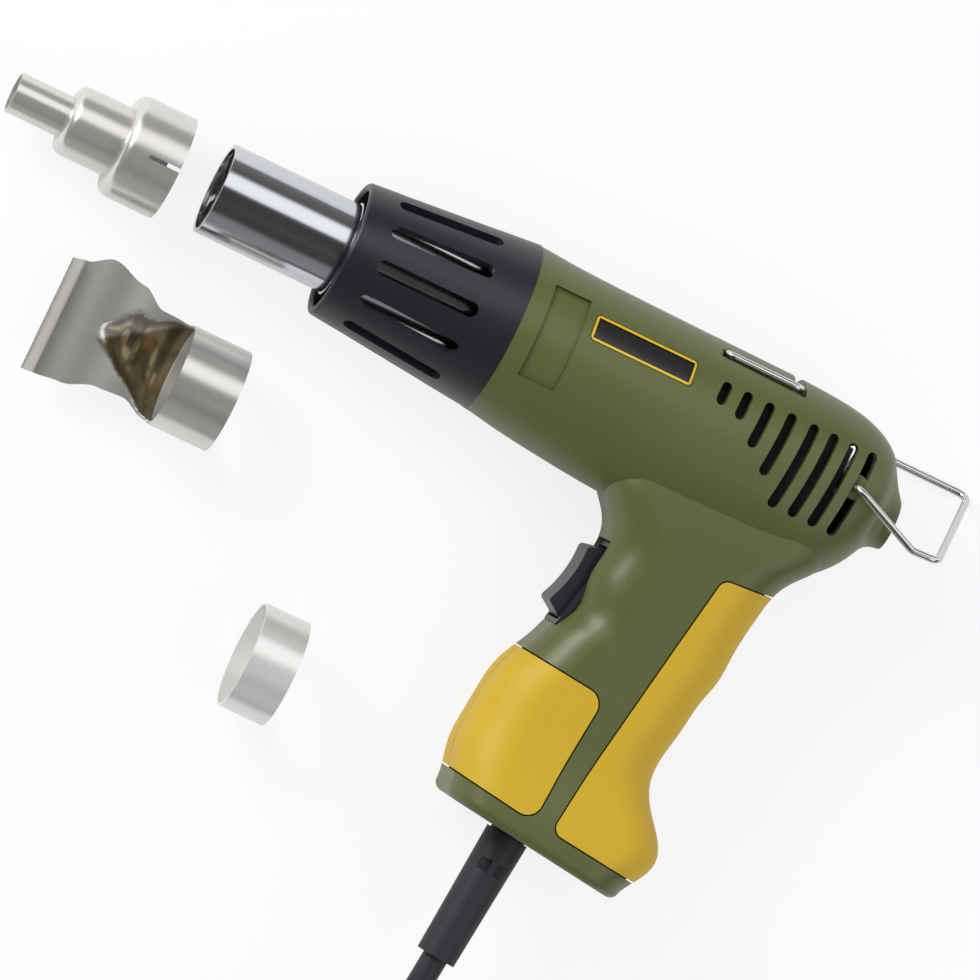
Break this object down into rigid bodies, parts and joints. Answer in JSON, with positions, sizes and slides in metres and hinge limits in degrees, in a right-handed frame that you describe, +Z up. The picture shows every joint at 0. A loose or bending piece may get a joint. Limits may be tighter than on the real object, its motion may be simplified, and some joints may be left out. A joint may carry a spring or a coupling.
{
  "type": "embossing heat tool",
  "caption": "Compact pistol-shaped hot-air tool with a bright heat tube, a slotted guard, grip pads, wire stands and loose nozzles.",
  "frame": {"origin": "centre of the heat tube's mouth", "axes": "+X rearward along the barrel, +Y towards the tool's top, +Z up with the tool lying on its right side"},
  "size_m": [0.2546, 0.3568, 0.0443],
  "materials": {
    "green_shell": "satin",
    "yellow_grip": "satin",
    "black_plastic": "satin",
    "black_rubber": "matte",
    "bright_tube": "polished",
    "bright_nozzle": "polished",
    "bright_wire": "polished",
    "screw_steel": "satin",
    "plate": "gloss",
    "mica": "matte",
    "winding_wire": "satin",
    "board": "satin"
  },
  "bodies": {
    "tool": {"housing_left": "green_shell", "housing_right": "green_shell", "housing_screws": "screw_steel", "front_grip_left": "yellow_grip", "front_grip_right": "yellow_grip", "rear_grip_left": "yellow_grip", "rear_grip_right": "yellow_grip", "name_plate": "plate", "heat_guard": "black_plastic", "heat_tube": "bright_tube", "mica_sleeve": "mica", "mica_cross": "mica", "heater_winding": "winding_wire", "thermal_cutout": "winding_wire", "insulating_ring": "mica", "fan_duct": "black_plastic", "motor_can": "screw_steel", "motor_cap": "black_plastic", "switch_body": "black_plastic", "rectifier_board": "board", "board_parts": "black_plastic", "cord_boot": "black_rubber", "lead_end": "black_rubber", "cord_clamp": "black_plastic", "clamp_screws": "screw_steel", "mains_lead": "black_rubber", "lead_coil": "black_rubber", "lead_tail": "black_rubber", "mains_plug": "black_rubber", "plug_pins": "bright_wire"},
    "rocker": {"rocker": "black_plastic"},
    "rear_stand": {"rear_wire_stand": "bright_wire"},
    "top_clip": {"top_wire_clip": "bright_wire"},
    "fan": {"fan_rotor": "black_plastic", "motor_shaft": "screw_steel"},
    "reducer": {"reducer_nozzle": "bright_nozzle"},
    "reflector": {"reflector_nozzle": "bright_nozzle"},
    "wide": {"wide_nozzle": "bright_nozzle"}
  },
  "joints": [
    {"name": "rocker_tilt", "type": "hinge", "parent": "tool", "child": "rocker", "pos_m": [0.12118, -0.0474, 0], "axis": [0, 0, 1], "range_deg": [-10, 10]},
    {"name": "rear_stand_hinge", "type": "hinge", "parent": "tool", "child": "rear_stand", "pos_m": [0.1678, 0.0016, 0], "axis": [0, 0, 1], "range_deg": [-60, 125]},
    {"name": "top_clip_hinge", "type": "hinge", "parent": "tool", "child": "top_clip", "pos_m": [0.1274, 0.0172, 0], "axis": [0, 0, 1], "range_deg": [0, 100]},
    {"name": "fan_spin", "type": "hinge", "parent": "tool", "child": "fan", "pos_m": [0.11, 0, 0], "axis": [1, 0, 0], "continuous": true},
    {"name": "reducer_lift", "type": "slide", "parent": "tool", "child": "reducer", "axis": [0, 0, 1], "range_m": [0, 0.06]},
    {"name": "reflector_lift", "type": "slide", "parent": "tool", "child": "reflector", "axis": [0, 0, 1], "range_m": [0, 0.06]},
    {"name": "wide_lift", "type": "slide", "parent": "tool", "child": "wide", "axis": [0, 0, 1], "range_m": [0, 0.06]}
  ]
}
